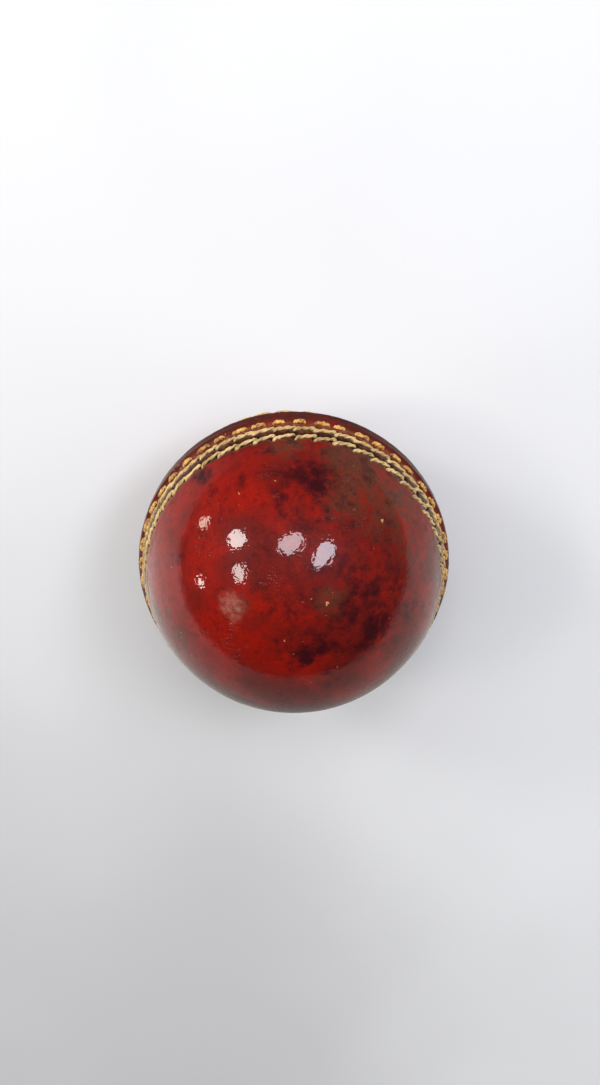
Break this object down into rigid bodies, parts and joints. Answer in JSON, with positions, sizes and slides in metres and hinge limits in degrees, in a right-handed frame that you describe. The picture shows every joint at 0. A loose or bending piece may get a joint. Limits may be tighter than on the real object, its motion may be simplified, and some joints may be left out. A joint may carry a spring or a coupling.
{
  "type": "cricket ball",
  "caption": "Hard cricket ball: stitched two-piece red leather cover with a raised seam, over a layered core of cork and wound yarn.",
  "frame": {"origin": "centre of the ball", "axes": "+Z along the axis of the seam, at right angles to the plane where the two leather cups meet; +X and +Y lie in that plane"},
  "size_m": [0.0738, 0.0738, 0.0714],
  "materials": {
    "leather": "deep red dyed leather, mottled with dark maroon, under a glossy polished lacquer",
    "thread": "thick waxed linen thread, tan, twisted from three plies",
    "closing_thread": "waxed linen thread soaked in golden lacquer",
    "yarn": "undyed worsted yarn, matt",
    "cork": "cut cork sheet, matt, with dark grains",
    "nucleus": "moulded ball of cork granules in dark rubber, matt"
  },
  "bodies": {
    "root": {"nucleus": "nucleus", "cork_cup_1_upper": "cork", "cork_cup_1_lower": "cork", "yarn_winding_1": "yarn", "cork_cup_2_upper": "cork", "cork_cup_2_lower": "cork", "yarn_winding_2": "yarn", "cork_cup_3_upper": "cork", "cork_cup_3_lower": "cork", "yarn_winding_3": "yarn", "cork_cup_4_upper": "cork", "cork_cup_4_lower": "cork", "yarn_winding_4": "yarn", "cork_cup_5_upper": "cork", "cork_cup_5_lower": "cork", "yarn_winding_5": "yarn", "leather_cup_upper": "leather", "leather_cup_lower": "leather", "stitch_row_inner_upper": "closing_thread", "stitch_row_inner_lower": "closing_thread", "stitch_row_middle_upper": "thread", "stitch_row_middle_lower": "thread", "stitch_row_outer_upper": "thread", "stitch_row_outer_lower": "thread"}
  },
  "joints": []
}
